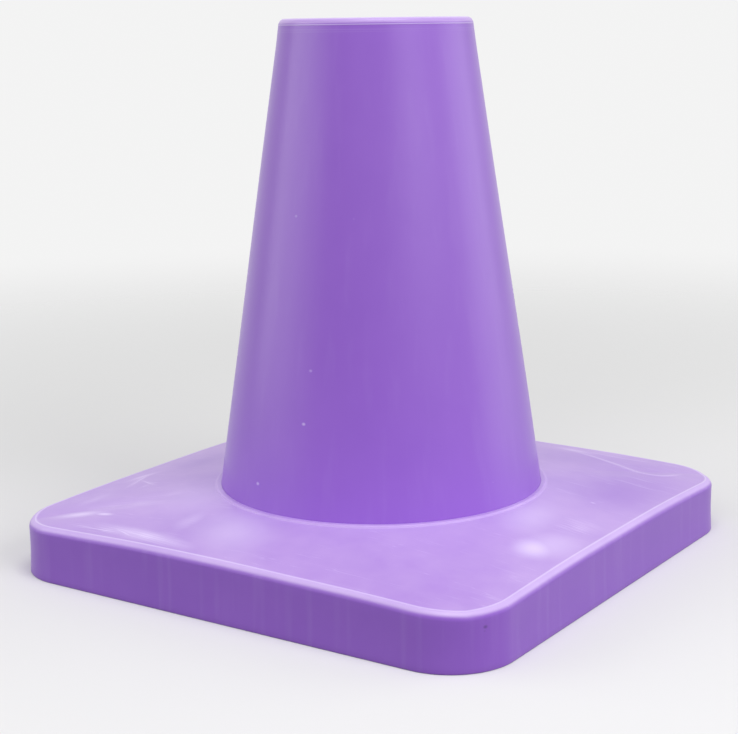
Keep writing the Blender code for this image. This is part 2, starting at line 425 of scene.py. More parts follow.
CREASES = (
    Crease((0.050, 0.1330), (0.092, 0.1230), (0.127, 0.0850), (0.1310, 0.1300), 0.00035, 0.0014, 1.0),
    Crease((0.058, 0.1375), (0.075, 0.1365), (0.090, 0.1340), (0.1060, 0.1390), 0.00012, 0.0012, 0.6))


@dataclass
class SquareBase:
    """The base: lip and collar round the hole, crowned sheet, rounded edge and skirt."""

    taper: Taper
    side: float
    lip_top: float
    collar_bottom: float
    screw_places: list[Pair]
    wall: float = 0.003
    corner_radius: float = 0.035
    edge_height: float = 0.0327
    corner_droop: float = 0.0031
    edge_radius: float = 0.0042
    inside_edge_radius: float = 0.0015
    skirt_flare: float = 0.0005
    skirt_wall: float = 0.003
    skirt_bow: float = 0.0003
    rim_round: float = 0.0006
    lip_width: float = 0.0028
    lip_gap: float = 0.00002
    lip_chamfer: float = 0.00006
    hole_gap: float = 0.0003
    hole_end: float = 0.0002
    collar_wall: float = 0.003
    collar_fillet: float = 0.0012
    collar_round: float = 0.0004
    boss_radius: float = 0.0045
    boss_roof: float = 0.003
    boss_fillet: float = 0.0012
    boss_round: float = 0.0003
    boss_drop: float = 0.0033
    boss_buried: float = 0.0008
    boss_core: float = 0.0004
    screw_hole: float = 0.0023
    bead_height: float = 0.00016
    bead_width: float = 0.0007
    foot_line: float = 0.0005
    foot_share: float = 0.35
    dust_and_sheen_fade: Pair = (0.0027, 0.0045)
    edge_band_highlight_fade: Pair = (0.0024, 0.0040)
    edge_band_highlight_share: float = 0.34
    warp: float = 0.00022
    warp_fade: float = 0.015
    waves: Waves = ((0.45, 41.0, 23.0, 0.4), (0.35, -29.0, 52.0, 2.1), (0.20, 88.0, -61.0, 4.0))
    creases: tuple[Crease, ...] = CREASES
    border_share: float = 0.05
    side_steps: int = 88
    corner_steps: int = 36
    border_rows: int = 18
    sheet_rows: int = 62
    edge_rows: int = 16
    skirt_rows: int = 10
    lip_rows: int = 12
    hole_rows: int = 12
    wall_rows: int = 7
    roof_rows: int = 11
    inside_edge_rows: int = 6
    small_steps: int = 4
    boss_steps: int = 5
    boss_around: int = 48

    def __post_init__(self) -> None:
        """Works out the sizes that follow from the others."""
        self.lip_height = self.lip_top - self.taper.foot_height
        self.lip_foot = self.bore_radius(self.lip_top) + self.lip_width
        self.top_half = self.side / 2 - self.skirt_flare
        run_out = self.top_half - self.edge_radius - self.lip_foot
        self.tilt = math.atan2(self.taper.foot_height - self.edge_height, run_out)
        self.sheet_inset = self.edge_radius * (1.0 - math.sin(self.tilt))
        self.flat = self.top_half - self.corner_radius
        self.collar_radius = self.bore_radius(self.collar_bottom) + self.collar_wall
        self.heading, self.outward = self.outline_parts()

    def bore_radius(self, height: float) -> float:
        """Radius of the tapered hole at a height."""
        return self.taper.radius(height) + self.taper.across(self.hole_gap)

    def outline_parts(self) -> tuple[Grid, Grid]:
        """The two plan vectors that place each point of a rounded square.

        A point is flat times the first vector plus a corner radius times the second. Along a
        side these are (1, s) and (1, 0), and round a corner (1, 1) and (cos a, sin a). The
        other three sides are quarter turns of the first.

        Returns:
            Both vectors for every place round the square, as (place, 2).
        """
        share = np.linspace(-1.0, 1.0, self.side_steps, endpoint=False)
        angle = np.linspace(0.0, QUARTER, self.corner_steps, endpoint=False)
        side, corner = np.ones_like(share), np.ones_like(angle)
        heading = np.concatenate([np.column_stack([side, share]), np.column_stack([corner, corner])])
        outward = np.concatenate([
            np.column_stack([side, 0.0 * side]), np.column_stack([np.cos(angle), np.sin(angle)])])
        turns = [np.array([[c, s], [-s, c]]) for c, s in ((1, 0), (0, 1), (-1, 0), (0, -1))]
        return tuple(
            np.concatenate([vectors @ turn for turn in turns]) for vectors in (heading, outward))

    def outline(self, inset: Grid | float) -> Grid:
        """Plan places round the skirt's top outline, moved inwards by one inset or by each of many."""
        radius = self.corner_radius - np.array(inset)[..., None, None]
        return self.flat * self.heading + radius * self.outward

    def circle(self, radius: Grid | float) -> Grid:
        """Plan places on one circle or on each of many, which face their places on the outline."""
        facing = self.outline(self.sheet_inset)
        return np.array(radius)[..., None, None] * facing / np.linalg.norm(facing, axis=-1, keepdims=True)

    @staticmethod
    def rings(places: Callable[[Grid], Grid], profile: Grid, base: Grid | float = 0.0) -> Grid:
        """Rings along a profile, at the places of each distance and that height over a base."""
        return raised(places(profile[:, 0]), base + profile[:, 1:])

    def sheet_height(self, place: Grid) -> Grid:
        """Height of the sheet: it falls evenly from the foot to the edge, which droops at corners.

        The edge lies at edge_height - corner_droop (short / long)^2 of the plan place, and
        the share of the way out is (r - lip foot) / (reach - lip foot), where reach is the
        distance to the rounded square's outline in that direction.

        Args:
            place: Plan places as (..., 2).

        Returns:
            Their heights.
        """
        distance = np.linalg.norm(place, axis=-1)
        long, short = np.abs(place).max(axis=-1) / distance, np.abs(place).min(axis=-1) / distance
        half, radius = self.top_half - self.sheet_inset, self.corner_radius - self.sheet_inset
        along = self.flat * (long + short)
        corner = along + np.sqrt(np.maximum(along ** 2 - 2 * self.flat ** 2 + radius ** 2, 0.0))
        reach = np.where(short * half <= self.flat * long, half / long, corner)
        edge = self.edge_height - self.corner_droop * (short / long) ** 2
        share = (distance - self.lip_foot) / (reach - self.lip_foot)
        return self.taper.foot_height + (edge - self.taper.foot_height) * share

    def sheet_rings(self) -> Grid:
        """Rings over the sheet from the lip's foot to the edge, with its creases and bead.

        The soft sheet is uneven by warp times a few waves of the plan place, which fade out at
        the foot. The rows are finer in the border.

        Returns:
            The rings.
        """
        inner, outer = self.circle(self.lip_foot), self.outline(self.sheet_inset)
        split = 1.0 - self.border_share
        share = np.concatenate([
            np.linspace(0.0, split, self.sheet_rows + 1)[1:],
            np.linspace(split, 1.0, self.border_rows + 1)[1:]])
        plan = inner + (outer - inner) * share[:, None, None]
        fade = ease(np.linalg.norm(plan, axis=-1), self.lip_foot, self.lip_foot + self.warp_fade)
        uneven = self.warp * fade * sines(plan[..., 0], plan[..., 1], self.waves)
        ridge = sum(crease.height * crease.profile(plan) for crease in self.creases)
        bead = self.bead_height * bell(np.linalg.norm(outer - plan, axis=-1), self.bead_width)
        return raised(plan, self.sheet_height(plan) + uneven + ridge + bead)

    def edge_rings(self, start: Grid, inset: float, radius: float, tilt: float, steps: int) -> Grid:
        """Rings from tilt t0 to the upright: inset - r (sin t - sin t0) and z - r (cos t0 - cos t)."""
        centre = (inset + radius * math.sin(tilt), -radius * math.cos(tilt))
        return self.rings(self.outline, arc(centre, radius, QUARTER + tilt, math.pi, steps)[1:], start[:, 2])

    def skirt_rings(self, top: Grid) -> Grid:
        """Rings down the outside of the skirt, which flares out and bows in between its ends.

        Args:
            top: The ring that the skirt starts from.

        Returns:
            The rings, of which the last one stands just above the rim's rounding.
        """
        share = np.linspace(0.0, 1.0, self.skirt_rows + 1)[1:]
        inset = self.skirt_bow * np.sin(math.pi * share) - self.skirt_flare * share
        return raised(self.outline(inset), top[:, 2] + (self.rim_round - top[:, 2]) * share[:, None])

    def rim_rings(self) -> Grid:
        """Rings under the skirt: two small roundings with the flat standing rim between them.

        Returns:
            The rings.
        """
        small, steps, inner = self.rim_round, self.small_steps, self.skirt_wall - self.rim_round
        outside = arc((small - self.skirt_flare, small), small, math.pi, 3 * QUARTER, steps)[1:]
        inside = arc((inner - self.skirt_flare, small), small, -QUARTER, 0.0, steps)
        return self.rings(self.outline, np.concatenate([outside, inside]))

    def inside_rings(self) -> Grid:
        """Rings up the inside of the skirt, under the sheet and down the collar to its end.

        Returns:
            The rings.
        """
        inset = self.skirt_wall + self.inside_edge_radius
        fillet, small, steps = self.collar_fillet, self.collar_round, self.small_steps
        roof = self.outline(inset)
        start = raised(roof, self.sheet_height(roof) - self.wall)
        edge = self.edge_rings(start, inset, self.inside_edge_radius, 0.0, self.inside_edge_rows)
        edge = np.concatenate([start[None], edge])
        share = np.linspace(0.0, 1.0, self.wall_rows)[1:-1]
        height = self.rim_round + (edge[-1, :, 2] - self.rim_round) * share[:, None]
        wall = raised(self.outline(self.skirt_wall - self.skirt_flare * (1 - share)), height)
        near = self.circle(self.collar_radius + fillet)
        under = roof + (near - roof) * np.linspace(0.0, 1.0, self.roof_rows)[1:, None, None]
        ceiling = raised(under, self.sheet_height(under) - self.wall)
        root = arc((self.collar_radius + fillet, -fillet), fillet, QUARTER, math.pi, steps)[1:]
        end = arc((self.collar_radius - small, self.collar_bottom + small), small, 0.0, -QUARTER, steps)
        return np.concatenate([
            wall, edge[::-1], ceiling, self.rings(self.circle, root, ceiling[-1, :, 2]),
            self.rings(self.circle, end)])

    def hole_rings(self) -> Grid:
        """Rings up the tapered hole and over the lip down to the sheet.

        The hole's gap round the wall closes where it comes into sight.

        Returns:
            The rings.
        """
        foot = self.taper.foot_height
        height = np.linspace(self.collar_bottom, self.lip_top - self.hole_end, self.hole_rows)
        gap = self.hole_gap + (self.lip_gap - self.hole_gap) * ease(height, foot - self.wall, foot)
        hole = np.column_stack([self.taper.radius(height) + self.taper.across(gap), height])
        crest = self.taper.radius(self.lip_top) + self.taper.across(self.lip_gap) + self.lip_chamfer
        land_end = self.lip_foot - self.lip_height
        land = np.linspace((crest, self.lip_top), (land_end, self.lip_top), self.lip_rows + 1)
        rounding = arc((land_end, foot), self.lip_height, QUARTER, 0.0, self.lip_rows)
        return self.rings(self.circle, joined([hole, land, rounding]))

    def boss(self, place: Pair) -> Skin:
        """One screw boss: a tube that hangs from the sheet, flared where it meets it.

        Its upper rings follow the sheet's underside and are buried in it a little. Then they
        go down the outside, and up the screw's hole.

        Args:
            place: The boss's axis in plan.

        Returns:
            A closed shell.
        """
        centre, radius, fillet, small = np.array(place), self.boss_radius, self.boss_fillet, self.boss_round
        bottom = self.collar_bottom - self.boss_drop
        circle = turned(1.0, 0.0, bearings(self.boss_around))[:, :2]
        roof = self.sheet_height(centre + radius * circle) - self.wall
        hole_top = self.sheet_height(centre) - self.wall - self.boss_roof
        flare = arc((radius + fillet, -fillet), fillet, QUARTER, math.pi, self.boss_steps)
        levels = [
            (self.boss_core, roof + self.boss_buried), (radius + fillet, roof + self.boss_buried),
            *((distance, roof + height) for distance, height in flare),
            (radius, bottom + small), (radius - small, bottom),
            (self.screw_hole, bottom), (self.screw_hole, hole_top)]
        rings = np.stack([raised(centre + distance * circle, height) for distance, height in levels])
        return loop_grid(rings, closed=False, marks={})

    def marks(self, rings: Grid, first_sheet: int, first_edge: int) -> dict[str, Grid]:
        """What the finish reads at each point.

        Dust with a painted pale sheen, for the sky's reflection, covers the lip and the sheet and
        fades out over the edge. Painted highlight lines lie on the sheet's border, the edge's upper
        part, the lip's foot and the crease. The outside ends with the skirt.

        Args:
            rings: All the rings.
            first_sheet: Number of the sheet's first ring.
            first_edge: Number of the edge's first ring.

        Returns:
            Numbers from 0 to 1 for each point as (ring, place in it), by name.
        """
        row = np.arange(len(rings))[:, None]
        first_lip, first_skirt = first_sheet - 1 - 2 * self.lip_rows, first_edge + self.edge_rows
        on_lip = (row >= first_lip) & (row < first_sheet)
        on_sheet = (row >= first_sheet) & (row < first_edge)
        on_edge = (row >= first_edge) & (row < first_skirt)
        from_border = np.linalg.norm(rings - rings[first_edge - 1], axis=-1)
        from_foot = np.linalg.norm(rings - rings[first_sheet - 1], axis=-1)
        # Painted highlights: a band down the edge's upper part, a line at the sheet's border, one at the
        # lip's foot.
        edge_band_highlight = self.edge_band_highlight_share * on_edge * (1.0 - ease(from_border, *self.edge_band_highlight_fade))
        border = np.maximum(bell(from_border, self.bead_width) * (on_sheet | on_edge), edge_band_highlight)
        foot = self.foot_share * bell(from_foot, self.foot_line) * (on_lip | on_sheet)
        outside = (row >= first_lip) & (row < first_skirt + self.skirt_rows)
        return {
            # Dust with a painted pale sheen on the lip and the sheet, fading out over the edge.
            "haze": (on_lip | on_sheet) + on_edge * (1.0 - ease(from_border, *self.dust_and_sheen_fade)),
            "edge": np.maximum(border, foot),
            # A painted highlight along the crease's curve.
            "crease": sum(c.strength * c.profile(rings[..., :2]) for c in self.creases) * on_sheet,
            "outside": outside * np.ones_like(from_border)}

    def build(self, material: Material) -> Piece:
        """The base as one closed skin with its four bosses.

        Args:
            material: The base's plastic.

        Returns:
            The piece, standing for the solid square_base.
        """
        hole, sheet = self.hole_rings(), self.sheet_rings()
        edge = self.edge_rings(sheet[-1], self.sheet_inset, self.edge_radius, self.tilt, self.edge_rows)
        skirt = self.skirt_rings(edge[-1])
        rings = np.concatenate([hole, sheet, edge, skirt, self.rim_rings(), self.inside_rings()])
        skin = loop_grid(rings, closed=True, marks=self.marks(rings, len(hole), len(hole) + len(sheet)))
        for place in self.screw_places:
            skin = skin.with_shell(self.boss(place))
        piece = skin.as_object("square_base_skin", material)
        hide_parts("square_base")
        return piece


@dataclass
class RingScrew:
    """A pan-head screw, head down, with a thread and a cross recess."""

    place: Pair
    head_bottom: float
    tip_top: float
    head_height: float = 0.0026
    head_radius: float = 0.004
    head_side: float = 0.001
    shank_radius: float = 0.002
    root_radius: float = 0.0016
    tip_radius: float = 0.0008
    tip_length: float = 0.0016
    pitch: float = 0.0014
    crest_slope: float = 1.6
    thread_start: Pair = (0.0006, 0.0022)
    recess_span: float = 0.0042
    recess_slot: float = 0.001
    recess_depth: float = 0.0014
    recess_soft: float = 0.00012
    recess_rise: float = 0.35
    recess_share: Pair = (0.02, 0.62)
    recess_rows: int = 34
    dome_share: Pair = (0.65, 1.0)
    dome_rows: int = 16
    side_rows: int = 4
    shank_rows: int = 110
    around: int = 96

    def within(self, place: Grid, limit: float) -> Grid:
        """1 nearer to the middle than a limit and 0 past it, eased at the recess's walls."""
        return 1.0 - ease(np.abs(place), limit - self.recess_soft, limit + self.recess_soft)

    def head_rings(self, angles: Grid) -> Grid:
        """The head's underside as rings out from its middle, with the cross sunk into it.

        The dome is z = side + crown (1 - (r / R)^2)^(1/2) below the seat, and the cross is
        the set of places within half a slot of either arm.

        Args:
            angles: The places in a ring.

        Returns:
            The rings.
        """
        share = np.concatenate([
            np.linspace(*self.recess_share, self.recess_rows),
            np.linspace(*self.dome_share, self.dome_rows)])[:, None]
        radius = self.head_radius * share
        x, y = radius * np.cos(angles), radius * np.sin(angles)
        half, reach = self.recess_slot / 2, self.recess_span / 2
        cross = np.maximum(
            self.within(y, half) * self.within(x, reach), self.within(x, half) * self.within(y, reach))
        floor = self.head_height - self.recess_depth * (1.0 - self.recess_rise * radius / reach)
        depth = self.head_side + (self.head_height - self.head_side) * np.sqrt(1.0 - share ** 2)
        depth = depth + (np.minimum(floor, depth) - depth) * cross
        return turned(radius, self.head_bottom + self.head_height - depth, angles)

    def shank_rings(self, angles: Grid) -> Grid:
        """The shank as rings up from the seat, with a thread wound round it.

        The radius is the root plus the thread's depth times a sharp wave of
        (height / pitch - angle / turn), and it narrows to the tip.

        Args:
            angles: The places in a ring.

        Returns:
            The rings.
        """
        seat = self.head_bottom + self.head_height
        height = np.linspace(seat, self.tip_top, self.shank_rows)[:, None]
        phase = (height - seat) / self.pitch - angles / math.tau
        wave = np.abs(2.0 * (phase - np.floor(phase + 0.5)))
        crest = np.clip(1.0 - wave * self.crest_slope, 0.0, 1.0) * ease(height - seat, *self.thread_start)
        radius = self.root_radius + (self.shank_radius - self.root_radius) * crest
        narrow = ease(height, self.tip_top - self.tip_length, self.tip_top)
        return turned(radius + (self.tip_radius - radius) * narrow, height, angles)

    def build(self, number: int, material: Material) -> Piece:
        """One screw as one closed skin.

        Args:
            number: Its number in the node names.
            material: The plated steel.

        Returns:
            The piece, standing for the solid of that number.
        """
        angles, seat = bearings(self.around), self.head_bottom + self.head_height
        side = np.linspace(seat - self.head_side, seat, self.side_rows)[1:, None]
        side = turned(self.head_radius, side, angles)
        rings = np.concatenate([self.head_rings(angles), side, self.shank_rings(angles)])
        skin = loop_grid(rings[::-1] + np.array([*self.place, 0.0]), closed=False, marks={})
        piece = skin.as_object(f"ring_screw_{number}_threaded", material)
        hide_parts(f"ring_screw_{number}")
        return piece


class Nodes:
    """Adds shader nodes to one tree and links them.

    A source is an output socket, a number or a tuple: a place, a scale or a colour. Inputs
    are the source of each input of a node, by the input's name or number.
    """

    def __init__(self, tree: Tree) -> None:
        """Keeps the tree that nodes are added to."""
        self.tree = tree

    def feed(self, node: bpy.types.Node, inputs: Inputs) -> None:
        """Links a node's inputs to other nodes' outputs, or sets their values."""
        for name, source in inputs.items():
            socket = node.inputs[name]
            if isinstance(source, Socket):
                self.tree.links.new(source, socket)
            else:
                socket.default_value = (*source, 1.0) if socket.type == "RGBA" else source

    def add(self, kind: str, inputs: Inputs, **settings: object) -> bpy.types.NodeOutputs:
        """A new shader node.

        Args:
            kind: The kind of node.
            inputs: Its inputs.
            settings: Its settings by name.

        Returns:
            Its outputs.
        """
        node = self.tree.nodes.new(f"ShaderNode{kind}")
        for name, value in settings.items():
            setattr(node, name, value)
        self.feed(node, inputs)
        return node.outputs

    def maths(self, operation: str, *sources: object, clamp: bool = False) -> Socket:
        """The result of a Math node on its sources, kept from 0 to 1 if clamp is set."""
        return self.add("Math", dict(enumerate(sources)), operation=operation, use_clamp=clamp)[0]

    def times(self, first: object, second: object, clamp: bool = False) -> Socket:
        """The product of two sources."""
        return self.maths("MULTIPLY", first, second, clamp=clamp)

    def plus(self, first: object, second: object, clamp: bool = False) -> Socket:
        """The sum of two sources."""
        return self.maths("ADD", first, second, clamp=clamp)

    def minus(self, first: object, second: object, clamp: bool = False) -> Socket:
        """The first source less the second."""
        return self.maths("SUBTRACT", first, second, clamp=clamp)

    def most(self, first: object, second: object) -> Socket:
        """The larger of two sources."""
        return self.maths("MAXIMUM", first, second)

    def vector(self, operation: str, *sources: object) -> Socket:
        """The result of a Vector Math node, a number for LENGTH and a vector otherwise."""
        outputs = self.add("VectorMath", dict(enumerate(sources)), operation=operation)
        return outputs["Value" if operation == "LENGTH" else "Vector"]

    def span(self, value: Socket, low: float, high: float) -> Socket:
        """A value eased from 0 at low to 1 at high, as Map Range does with smooth steps."""
        inputs = {"Value": value, "From Min": low, "From Max": high}
        return self.add("MapRange", inputs, interpolation_type="SMOOTHSTEP")["Result"]

    def blend(self, share: Socket, first: object, second: object) -> Socket:
        """Two colours mixed by a share, which is 0 for the first and 1 for the second."""
        inputs = {0: share, MIX_FIRST: first, MIX_SECOND: second}
        return self.add("Mix", inputs, data_type="RGBA")[MIX_RESULT]

    def noise(self, place: Socket, scale: object, detail: float, roughness: float = 0.5) -> Socket:
        """A Noise texture's value at a place."""
        inputs = {"Vector": place, "Scale": scale, "Detail": detail, "Roughness": roughness}
        return self.add("TexNoise", inputs)["Fac"]

    def mark(self, name: str) -> Socket:
        """A number kept at the skin's points, 0 where the skin has none of that name."""
        return self.add("Attribute", {}, attribute_name=name)["Fac"]


class Effect(Nodes):
    """The nodes of a new node group, which more than one finish uses."""

    def __init__(self, name: str, inputs: dict[str, float | None]) -> None:
        """Makes the group with its inputs.

        Args:
            name: The group's name.
            inputs: The default of each input by name, or None for a vector.
        """
        super().__init__(bpy.data.node_groups.new(name, "ShaderNodeTree"))
        for socket, default in inputs.items():
            kind = "NodeSocketVector" if default is None else "NodeSocketFloat"
            made = self.tree.interface.new_socket(socket, in_out="INPUT", socket_type=kind)
            if default is not None:
                made.default_value = default
        self.given = self.tree.nodes.new("NodeGroupInput").outputs

    def giving(self, name: str, value: Socket) -> Tree:
        """The group, once a number is made its one output.

        Args:
            name: The output's name.
            value: The number.

        Returns:
            The group.
        """
        self.tree.interface.new_socket(name, in_out="OUTPUT", socket_type="NodeSocketFloat")
        self.feed(self.tree.nodes.new("NodeGroupOutput"), {name: value})
        return self.tree


def mottle_effect() -> Tree:
    """Cloudy unevenness of a moulded colour: two sizes of noise, centred on 0.

    Returns:
        The group.
    """
    finer, broad_share, close_share = 5.3, 0.7, 0.3
    on = Effect("mottle", {"Place": None, "Scale": 12.0, "Amount": 1.0})
    broad = on.noise(on.given["Place"], on.given["Scale"], 2.0)
    close = on.noise(on.given["Place"], on.times(on.given["Scale"], finer), 3.0)
    both = on.plus(on.times(broad, broad_share), on.times(close, close_share))
    return on.giving("Value", on.times(on.minus(both, 0.5), on.given["Amount"]))


def scratches_effect() -> Tree:
    """Fine scratches: thin bands of a noise that is stretched along one bearing.

    A scratch is where the stretched noise crosses its middle value, kept only where a broad
    noise is high, so that the scratches come in short lengths and in groups.

    Returns:
        The group.
    """
    group_scale, group_contrast = 0.55, 9.0
    on = Effect("scratches", {"Place": None, "Width": 0.02, "Cover": 0.5})
    off = on.maths("ABSOLUTE", on.minus(on.noise(on.given["Place"], 1.0, 1.0), 0.5))
    thin = on.minus(1.0, on.maths("DIVIDE", off, on.given["Width"]), clamp=True)
    broad = on.noise(on.given["Place"], group_scale, 2.0)
    kept = on.minus(broad, on.minus(1.0, on.given["Cover"]))
    return on.giving("Mask", on.times(thin, on.times(kept, group_contrast, clamp=True)))


def specks_effect() -> Tree:
    """Dust specks: small dots at the middles of some of the cells of a Voronoi texture.

    Returns:
        The group.
    """
    on = Effect("specks", {"Place": None, "Scale": 160.0, "Size": 0.1, "Cover": 0.2})
    cells = on.add("TexVoronoi", {"Vector": on.given["Place"], "Scale": on.given["Scale"]})
    split = on.add("SeparateColor", {"Color": cells["Color"]})
    size = on.times(on.given["Size"], split["Green"])
    dot = on.minus(1.0, on.maths("DIVIDE", cells["Distance"], size), clamp=True)
    return on.giving("Mask", on.times(dot, on.maths("LESS_THAN", split["Red"], on.given["Cover"])))


def patch_effect() -> Tree:
    """A soft oval patch round a centre: 1 in its middle and 0 past its half sizes.

    It can be broken into fine streaks along its own bearing, which are the crests of a noise
    stretched that way.

    Returns:
        The group.
    """
    streak_scale, streak_span = (45.0, 900.0, 45.0), (0.62, 0.42)
    on = Effect("patch", {"Place": None, "Centre": None, "Half size": None, "Bearing": 0.0, "Streaks": 0.0})
    offset = on.vector("SUBTRACT", on.given["Place"], on.given["Centre"])
    turn = {"Vector": offset, "Angle": on.given["Bearing"]}
    aligned = on.add("VectorRotate", turn, rotation_type="Z_AXIS", invert=True)["Vector"]
    share = on.vector("DIVIDE", aligned, on.given["Half size"])
    soft = on.span(on.vector("LENGTH", share), 1.0, 0.0)
    lines = on.noise(on.vector("MULTIPLY", aligned, streak_scale), 1.0, 1.0)
    kept = on.times(on.given["Streaks"], on.span(lines, *streak_span))
    return on.giving("Mask", on.times(soft, on.minus(1.0, kept)))


def grain_effect() -> Tree:
    """The fine grain of a moulded surface: a close noise with a broader one under it.

    Returns:
        The group.
    """
    broader, share = 0.12, 0.5
    on = Effect("grain", {"Place": None, "Scale": 900.0})
    fine = on.noise(on.given["Place"], on.given["Scale"], 3.0, 0.6)
    broad = on.noise(on.given["Place"], on.times(on.given["Scale"], broader), 2.0)
    return on.giving("Height", on.plus(on.times(fine, share), on.times(broad, share)))


def shared_effects() -> Effects:
    """Every effect by its name, each built once."""
    made = (mottle_effect(), scratches_effect(), specks_effect(), patch_effect(), grain_effect())
    return {tree.name: tree for tree in made}


class Surface(Nodes):
    """The nodes of a new material, which can use the shared effects at its own place."""

    def __init__(self, name: str, effects: Effects) -> None:
        """Makes the material with a Principled shader.

        Args:
            name: The material's name.
            effects: The shared effects.
        """
        self.material = bpy.data.materials.new(name)
        self.material.use_nodes = True
        super().__init__(self.material.node_tree)
        self.effects = effects
        self.place = self.add("TexCoord", {})["Object"]

    def effect(self, effect: str, **sources: object) -> Socket:
        """A shared effect's output, at this surface's place unless another is among the sources."""
        inputs = {name.replace("_", " ").capitalize(): source for name, source in sources.items()}
        return self.add("Group", {"Place": self.place, **inputs}, node_tree=self.effects[effect])[0]

    def stretched(self, turn: Triple, scale: Triple) -> Socket:
        """The place turned and stretched by a Mapping node."""
        return self.add("Mapping", {"Vector": self.place, "Rotation": turn, "Scale": scale})["Vector"]

    def finish(self, height: Socket, strength: float, depth: float, inputs: Inputs) -> Material:
        """The material, once its shader is fed.

        Args:
            height: The height that gives its bumps.
            strength: The strength of the bumps.
            depth: Their depth.
            inputs: The shader's other inputs.

        Returns:
            The material.
        """
        shader = next(node for node in self.tree.nodes if node.type == "BSDF_PRINCIPLED")
        bump = self.add("Bump", {"Strength": strength, "Distance": depth, "Height": height})
        self.feed(shader, {"Normal": bump["Normal"], **inputs})
        return self.material


@dataclass(frozen=True)
class Patch:
    """Where a patch lies on a piece and how strong it is: wear, dust, a painted highlight, or less painted
    sheen.
    """

    centre: Triple
    half_size: Triple
    bearing: float
    amount: float
    streaks: float = 0.0

    def shown(self, on: Surface) -> Socket:
        """How strongly the patch shows at each place of a surface's outside."""
        mask = on.effect(
            "patch", centre=self.centre, half_size=self.half_size, bearing=self.bearing,
            streaks=self.streaks)
        return on.times(on.times(mask, self.amount), on.mark("outside"))


def specks(rows: Rows) -> tuple[Patch, ...]:
    """Small patches from rows of x, y, z, half width and half height in mm, and amount."""
    return tuple(
        Patch((x / MM, y / MM, z / MM), (wide / MM, wide / MM, high / MM), 0.0, amount)
        for x, y, z, wide, high, amount in rows)


def sheet_patches(rows: Rows, depth: float = 0.02) -> tuple[Patch, ...]:
    """Patches from rows of x, y, z, half length and half width in mm, then as Patch goes on."""
    return tuple(
        Patch((x / MM, y / MM, z / MM), (length / MM, width / MM, depth), *rest)
        for x, y, z, length, width, *rest in rows)


@dataclass(frozen=True)
class PlasticFinish:
    """A moulded plastic: unevenness, scratches, dust, wear, a painted pale sheen and painted highlights."""

    name: str
    colour: Triple
    deep: Triple
    pale: Triple
    roughness: float
    mottle_scale: float
    mottle_amount: float
    scratch_turn: Triple
    scratch_scale: Triple
    scratch_cover: float
    scratch_amount: float
    speck_cover: float
    speck_amount: float
    haze: Triple = (1.0, 1.0, 1.0)
    dust_and_sheen_amount: float = 0.0
    cloud_scale: float = 16.0
    cloud_amount: float = 0.5
    streak_scale: Triple = (150.0, 150.0, 9.0)
    streak_span: Pair = (0.5, 0.8)
    streak_amount: float = 0.0
    edge_highlight_amount: float = 0.0
    crease_highlight_amount: float = 0.0
    scratch_width: float = 0.035
    scratch_depth: float = 0.6
    speck_scale: float = 150.0
    speck_size: float = 0.1
    swing: float = 0.04
    worn_roughness: float = 0.15
    grain_scale: float = 900.0
    bump_strength: float = 0.5
    bump: float = 0.00003
    ior: float = 1.5
    patches: tuple[Patch, ...] = ()
    sheen_gaps: tuple[Patch, ...] = ()
    scuff: Triple = (0.10, 0.045, 0.22)
    scuffs: tuple[Patch, ...] = ()

    def wear_and_highlights(self, on: Surface, scratch: Socket) -> Socket:
        """How pale each place is, from 0 to 1, for wear and dust and for painted highlights.

        Args:
            on: The surface.
            scratch: The scratches' mask.

        Returns:
            The strongest of the scratches, specks, patches, painted highlight lines and painted creases.
        """
        dust = on.effect("specks", scale=self.speck_scale, size=self.speck_size, cover=self.speck_cover)
        pale = on.most(on.times(scratch, self.scratch_amount), on.times(dust, self.speck_amount))
        for patch in self.patches:
            pale = on.most(pale, patch.shown(on))
        # The edge and crease marks paint pale highlight lines, with a little wear on the edges.
        for mark, amount in (("edge", self.edge_highlight_amount), ("crease", self.crease_highlight_amount)):
            if amount:
                pale = on.most(pale, on.times(on.mark(mark), amount))
        return pale

    def make(self, effects: Effects) -> Material:
        """The finish as a material.

        Args:
            effects: The shared effects.

        Returns:
            The material.
        """
        on = Surface(self.name, effects)
        mottle = on.effect("mottle", scale=self.mottle_scale, amount=self.mottle_amount)
        colour = on.blend(on.span(mottle, -0.5, 0.5), self.deep, self.colour)
        scratch = on.effect(
            "scratches", place=on.stretched(self.scratch_turn, self.scratch_scale),
            width=self.scratch_width, cover=self.scratch_cover)
        # Upper faces painted paler: dust, and a painted pale sheen that stands in for the sky's reflection.
        if self.dust_and_sheen_amount:
            top = on.mark("haze")
            cloud = on.effect("mottle", scale=self.cloud_scale, amount=self.cloud_amount)
            dust_and_sheen_share = on.times(top, on.plus(cloud, self.dust_and_sheen_amount), clamp=True)
            # Where the painted sheen is taken off, the sheet is painted darker, as shade.
            for patch in self.sheen_gaps:
                dust_and_sheen_share = on.times(dust_and_sheen_share, on.minus(1.0, patch.shown(on)))
            colour = on.blend(dust_and_sheen_share, colour, self.haze)
            streaks = on.noise(on.stretched((0.0, 0.0, 0.0), self.streak_scale), 1.0, 2.0)
            streaks = on.times(on.span(streaks, *self.streak_span), self.streak_amount)
            colour = on.blend(on.times(streaks, on.minus(1.0, top)), colour, self.pale)
            scratch = on.times(scratch, top)
        pale = self.wear_and_highlights(on, scratch)
        colour = on.blend(pale, colour, self.pale)
        for patch in self.scuffs:
            colour = on.blend(patch.shown(on), colour, self.scuff)
        rough = on.plus(on.times(mottle, self.swing), self.roughness)
        rough = on.plus(rough, on.times(pale, self.worn_roughness), clamp=True)
        height = on.minus(on.effect("grain", scale=self.grain_scale), on.times(scratch, self.scratch_depth))
        inputs = {"Base Color": colour, "Roughness": rough, "IOR": self.ior}
        return on.finish(height, self.bump_strength, self.bump, inputs)


